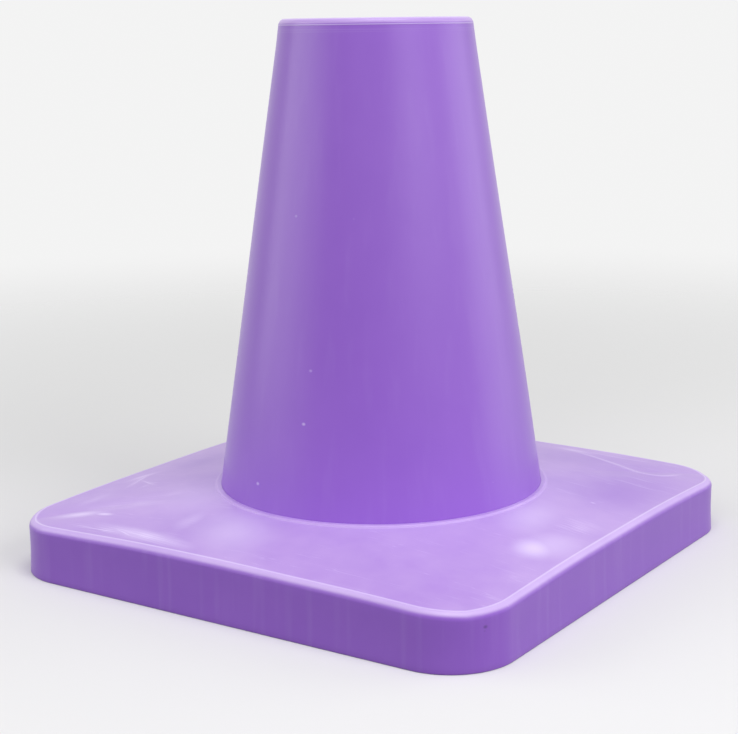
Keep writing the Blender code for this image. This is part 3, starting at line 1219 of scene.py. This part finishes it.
@dataclass(frozen=True)
class PlatedFinish:
    """Bright zinc plate on steel."""

    name: str = "zinc_plate"
    colour: Triple = (0.62, 0.63, 0.65)
    tint: Triple = (0.60, 0.57, 0.48)
    tint_share: float = 0.4
    roughness: float = 0.28
    swing: float = 0.3
    mottle_scale: float = 260.0
    mottle_amount: float = 1.6
    grain_scale: float = 4000.0
    bump_strength: float = 0.4
    bump: float = 0.00001

    def make(self, effects: Effects) -> Material:
        """The finish as a material.

        Args:
            effects: The shared effects.

        Returns:
            The material.
        """
        on = Surface(self.name, effects)
        mottle = on.effect("mottle", scale=self.mottle_scale, amount=self.mottle_amount)
        colour = on.blend(on.plus(mottle, self.tint_share, clamp=True), self.colour, self.tint)
        rough = on.plus(on.times(mottle, self.swing), self.roughness, clamp=True)
        inputs = {"Base Color": colour, "Metallic": 1.0, "Roughness": rough}
        return on.finish(on.effect("grain", scale=self.grain_scale), self.bump_strength, self.bump, inputs)


PURPLE = (0.300, 0.122, 0.618)
DEEP_PURPLE = (0.278, 0.109, 0.595)
# Pale colour of wear and dust, also used for the painted highlights.
PALE_WEAR_AND_HIGHLIGHT_PURPLE = (0.780, 0.660, 0.960)
# Colour of the dust and the painted pale sheen on the upper faces.
DUST_AND_SHEEN_PURPLE = (0.770, 0.600, 0.900)

WALL_FINISH = PlasticFinish(
    name="purple_wall", colour=PURPLE, deep=DEEP_PURPLE, pale=PALE_WEAR_AND_HIGHLIGHT_PURPLE, roughness=0.30,
    mottle_scale=9.0, mottle_amount=2.0,
    scratch_turn=(0.0, 0.2, 0.5), scratch_scale=(160.0, 160.0, 12.0), scratch_cover=0.4, scratch_amount=0.1,
    speck_cover=0.04, speck_amount=0.22, haze=DUST_AND_SHEEN_PURPLE, dust_and_sheen_amount=0.50, cloud_amount=0.3,
    streak_amount=0.02, edge_highlight_amount=0.60,
    patches=(
        *specks((
            (-22.0, -87.0, 54.7, 1.8, 1.3, 0.55), (-6.8, -68.0, 198.2, 1.5, 1.1, 0.32),
            (9.3, -79.3, 118.8, 1.5, 1.1, 0.32), (7.3, -83.8, 90.7, 1.6, 1.2, 0.62))),
        # These two broad soft patches are a painted reflection on the wall's right side.
        Patch((0.0610, -0.0270, 0.2150), (0.060, 0.060, 0.220), 0.0, 0.05),
        Patch((0.0853, -0.0055, 0.0830), (0.040, 0.045, 0.065), 0.0, 0.05)))

BASE_FINISH = PlasticFinish(
    name="purple_base", colour=PURPLE, deep=DEEP_PURPLE, pale=PALE_WEAR_AND_HIGHLIGHT_PURPLE, roughness=0.34,
    mottle_scale=14.0, mottle_amount=2.2, scratch_turn=(0.0, 0.0, 0.35), scratch_scale=(30.0, 420.0, 60.0),
    scratch_cover=0.46, scratch_amount=0.28,
    speck_cover=0.06, speck_amount=0.40, haze=DUST_AND_SHEEN_PURPLE, dust_and_sheen_amount=0.41, cloud_amount=0.55,
    streak_amount=0.05, edge_highlight_amount=0.76, crease_highlight_amount=0.55,
    # The glare along the front-left edge and the soft spot near (128, -53) mm are painted highlights.
    patches=sheet_patches((
        (-60.0, -138.5, 33, 46.0, 8.5, -0.08, 0.90, 0.35), (-118.0, -126.0, 31, 19.0, 7.5, 0.59, 1.00, 0.30),
        (-103.0, -121.2, 32, 8.5, 3.2, 0.15, 0.90), (-87.0, -140.0, 32, 30.0, 5.0, 0.04, 0.80, 1.0),
        (-48.0, -112.0, 36, 9.0, 18.0, 0.10, 0.40, 0.30), (-136.0, -52.0, 34, 4.5, 17.0, -0.15, 0.70, 0.20),
        (-129.0, -101.0, 33, 6.0, 20.0, -0.03, 0.35, 0.50), (-117.8, -71.5, 35, 3.0, 7.0, 0.0, 0.50, 1.0),
        (-70.0, -80.0, 38, 32.0, 42.0, 0.60, 0.22), (56.0, 135.0, 34, 20.0, 6.0, -0.15, 0.50),
        (128.0, -53.0, 34, 15.0, 19.0, 0.30, 0.85), (130.0, -10.0, 34, 17.0, 20.0, -0.05, 0.45, 1.0),
        (120.0, 30.8, 34, 2.4, 1.4, 0.0, 0.60), (-15.0, -115.0, 37, 40.0, 29.0, -0.60, 0.40),
        (-97.0, -101.0, 34, 40.0, 11.0, 0.55, 0.40, 0.80), (-90.0, -83.0, 35, 30.0, 8.0, 0.70, 0.35, 0.90),
        (105.0, -18.0, 38, 22.0, 36.0, 0.15, 0.40), (133.0, -42.0, 34, 19.0, 26.0, 0.0, 0.42),
        (-132.1, -59.5, 34, 26.2, 3.0, 1.87, 0.72, 0.60), (-121.2, -64.2, 34, 13.5, 2.2, -0.42, 0.80, 0.70),
        (-71.8, -139.1, 34, 18.2, 2.4, -0.32, 0.9, 0.9), (-79.2, -74.7, 34, 17.2, 3.0, -0.16, 0.42, 0.8))),
    # These take the painted sheen off towards the back right and on the left, painting shade there.
    sheen_gaps=sheet_patches((
        (122.0, 65.0, 35, 40.0, 75.0, 0.0, 0.50), (70.0, 115.0, 36, 70.0, 35.0, 0.0, 0.40),
        (-121.0, -11.0, 36, 22.0, 42.0, 0.0, 0.40))),
    scuffs=specks(((147.1, -134.2, 22.2, 1.8, 1.3, 0.85), (146.9, -134.6, 20.2, 1.0, 0.8, 0.40))))

RING_FINISH = PlasticFinish(
    name="ring_black", colour=(0.030, 0.030, 0.034), deep=(0.022, 0.022, 0.026), pale=(0.20, 0.20, 0.21),
    roughness=0.48, mottle_scale=20.0, mottle_amount=1.5,
    scratch_turn=(0.0, 0.0, 0.9), scratch_scale=(30.0, 140.0, 60.0), scratch_cover=0.40, scratch_amount=0.20,
    speck_cover=0.12, speck_amount=0.40)


@dataclass(frozen=True)
class PhotoView:
    """The photograph's camera, as solved from the cone's outlines."""

    distance: float = 0.9134
    height: float = 0.2961
    bearing: float = math.radians(33.73)
    pan: float = 0.0067
    pitch: float = -0.2055
    roll: float = 0.0130
    focal_pixels: float = 1640.7
    frame_width: float = 738.0
    sensor: float = 36.0

    def make(self) -> Piece:
        """The camera: it stands back from the axis on its bearing and looks across it.

        Returns:
            The scene's camera.
        """
        data = bpy.data.cameras.new("photo_view")
        data.sensor_width = self.sensor
        data.lens = self.focal_pixels / self.frame_width * self.sensor
        camera = linked("photo_view", data)
        place = Matrix.Rotation(self.bearing, 4, "Z") @ Vector((0.0, -self.distance, self.height))
        turn = (
            Matrix.Rotation(self.bearing + self.pan, 4, "Z") @ Matrix.Rotation(self.pitch, 4, "X")
            @ Matrix.Rotation(self.roll, 4, "Y") @ Matrix.Rotation(QUARTER, 4, "X"))
        camera.matrix_world = Matrix.Translation(place) @ turn
        bpy.context.scene.camera = camera
        return camera


@dataclass(frozen=True)
class SoftLamp:
    """A soft rectangular lamp that faces the cone.

    Bearing is counted from the camera's own, anticlockwise seen from above, in degrees.
    """

    name: str
    bearing: float
    elevation: float
    distance: float
    width: float
    height: float
    radiance: float
    glossy: bool = True
    aim_height: float = 0.12

    def make(self, view: PhotoView) -> Piece:
        """The lamp, whose power is its radiance times pi times its area.

        Args:
            view: The camera that its bearing is counted from.

        Returns:
            The lamp.
        """
        data = bpy.data.lights.new(self.name, "AREA")
        data.shape = "RECTANGLE"
        data.size, data.size_y = self.width, self.height
        data.energy = self.radiance * math.pi * self.width * self.height
        lamp = linked(self.name, data)
        lamp.visible_glossy = self.glossy
        turn, rise = view.bearing + math.radians(self.bearing), math.radians(self.elevation)
        away = Vector((math.sin(turn) * math.cos(rise), -math.cos(turn) * math.cos(rise), math.sin(rise)))
        place = Vector((0.0, 0.0, self.aim_height)) + away * self.distance
        lamp.matrix_world = Matrix.Translation(place) @ away.to_track_quat("Z", "Y").to_matrix().to_4x4()
        return lamp


@dataclass(frozen=True)
class Studio:
    """A pale floor that fades into a pale surround, and soft lamps."""

    floor_half: float = 6.0
    floor_tone: float = 0.80
    bounce_tone: float = 0.10
    surround_tone: float = 0.90
    sky_strength: float = 0.39
    fade_start: float = 0.22
    fade_end: float = 1.35
    lamps: tuple[SoftLamp, ...] = (
        SoftLamp("overhead", 20.0, 78.0, 1.9, 1.1, 1.1, 3.4),
        SoftLamp("left_panel", -100.0, 16.0, 1.6, 0.55, 1.1, 1.9),
        SoftLamp("left_fade", -80.0, 16.0, 1.6, 0.55, 1.1, 1.7),
        SoftLamp("left_rim", -62.0, 16.0, 1.6, 0.45, 1.1, 0.9),
        SoftLamp("right_panel", 100.0, 14.0, 1.6, 1.1, 1.1, 1.30),
        SoftLamp("right_fade", 34.0, 24.0, 1.9, 1.1, 0.9, 0.85),
        SoftLamp("front_left", -20.0, 30.0, 1.9, 0.7, 0.9, 2.4, glossy=False),
        SoftLamp("front_right", 45.0, 25.0, 1.8, 1.1, 1.1, 3.3, glossy=False))

    @staticmethod
    def blank(owner: Material | bpy.types.World) -> tuple[Nodes, Socket]:
        """The emptied nodes of a material or world, and what tells where it is seen.

        Args:
            owner: The material or world.

        Returns:
            Its nodes, and 1 for rays from the camera, off gloss or through clear matter.
        """
        owner.use_nodes = True
        owner.node_tree.nodes.clear()
        nodes = Nodes(owner.node_tree)
        path = nodes.add("LightPath", {})
        either = nodes.most(path["Is Camera Ray"], path["Is Glossy Ray"])
        return nodes, nodes.most(either, path["Is Transmission Ray"])

    def make_floor(self) -> Piece:
        """The floor: pale where it is seen, dim in the light it throws back, and faded far out.

        Returns:
            The floor.
        """
        mesh = bpy.data.meshes.new("floor")
        half = self.floor_half
        corners = [(-half, -half, 0), (half, -half, 0), (half, half, 0), (-half, half, 0)]
        mesh.from_pydata(corners, [], [(0, 1, 2, 3)])
        material = bpy.data.materials.new("pale_floor")
        nodes, seen = self.blank(material)
        place = nodes.add("TexCoord", {})["Object"]
        tone = nodes.plus(nodes.times(seen, self.floor_tone - self.bounce_tone), self.bounce_tone)
        far = nodes.span(nodes.vector("LENGTH", place), self.fade_start, self.fade_end)
        matt, clear = nodes.add("BsdfDiffuse", {"Color": tone})[0], nodes.add("BsdfTransparent", {})[0]
        surface = nodes.add("MixShader", {0: nodes.times(far, seen), 1: matt, 2: clear})[0]
        nodes.add("OutputMaterial", {"Surface": surface})
        mesh.materials.append(material)
        floor = linked("floor", mesh)
        return floor

    def make_world(self) -> None:
        """The surround: pale where it is seen, and an even soft light otherwise."""
        world = bpy.data.worlds.new("surround")
        nodes, seen = self.blank(world)
        strength = nodes.plus(nodes.times(seen, self.surround_tone - self.sky_strength), self.sky_strength)
        background = nodes.add("Background", {"Strength": strength, "Color": (1.0, 1.0, 1.0)})[0]
        nodes.add("OutputWorld", {"Surface": background})
        bpy.context.scene.world = world

    def make(self, view: PhotoView) -> None:
        """The whole surround, with its lamps placed round the camera's bearing.

        Args:
            view: The camera.
        """
        self.make_floor()
        self.make_world()
        for lamp in self.lamps:
            lamp.make(view)
        bpy.context.scene.view_settings.view_transform = "Standard"


@dataclass
class TrainingCone:
    """The whole cone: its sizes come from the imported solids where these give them."""

    effects: Effects
    screw_count: int = 4

    def pieces(self) -> list[Piece]:
        """Builds every piece, in order from the body down.

        Returns:
            The new pieces and the ring's solid in its new finish.
        """
        body_low, body_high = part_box("cone_body")
        base_low, base_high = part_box("square_base")
        taper = Taper(top_height=body_high.z)
        wall, base, zinc, black = (
            finish.make(self.effects) for finish in (WALL_FINISH, BASE_FINISH, PlatedFinish(), RING_FINISH))
        screws = [self.screw(number) for number in range(1, self.screw_count + 1)]
        body_piece = ConeBody(taper, flange_radius=body_high.x, flange_bottom=body_low.z).build(wall)
        base_piece = SquareBase(
            taper, side=base_high.x - base_low.x, lip_top=base_high.z,
            collar_bottom=body_low.z + ConeBody.flange_wall + SquareBase.hole_gap,
            screw_places=[screw.place for screw in screws]).build(base)
        made = [body_piece, base_piece]
        for number, screw in enumerate(screws, 1):
            made.append(screw.build(number, zinc))
        for piece in made:
            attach(piece, ROOT)
        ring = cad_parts["retaining_ring"]
        ring.data.materials.clear()
        ring.data.materials.append(black)
        return made + [ring]

    @staticmethod
    def screw(number: int) -> RingScrew:
        """The screw of that number in the node names, in the place that its solid holds."""
        low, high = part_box(f"ring_screw_{number}")
        return RingScrew(place=tuple(((low + high) / 2)[:2]), head_bottom=low.z, tip_top=high.z)


def main() -> None:
    """Builds the camera, the studio and the cone."""
    logging.basicConfig(level=logging.INFO, format="%(message)s")
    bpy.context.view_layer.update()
    view = PhotoView()
    view.make()
    Studio().make(view)
    for piece in TrainingCone(shared_effects()).pieces():
        mesh = piece.data
        LOG.info("%s: %d faces, material %s", piece.name, len(mesh.polygons), mesh.materials[0].name)


if __name__ == "__main__":
    main()
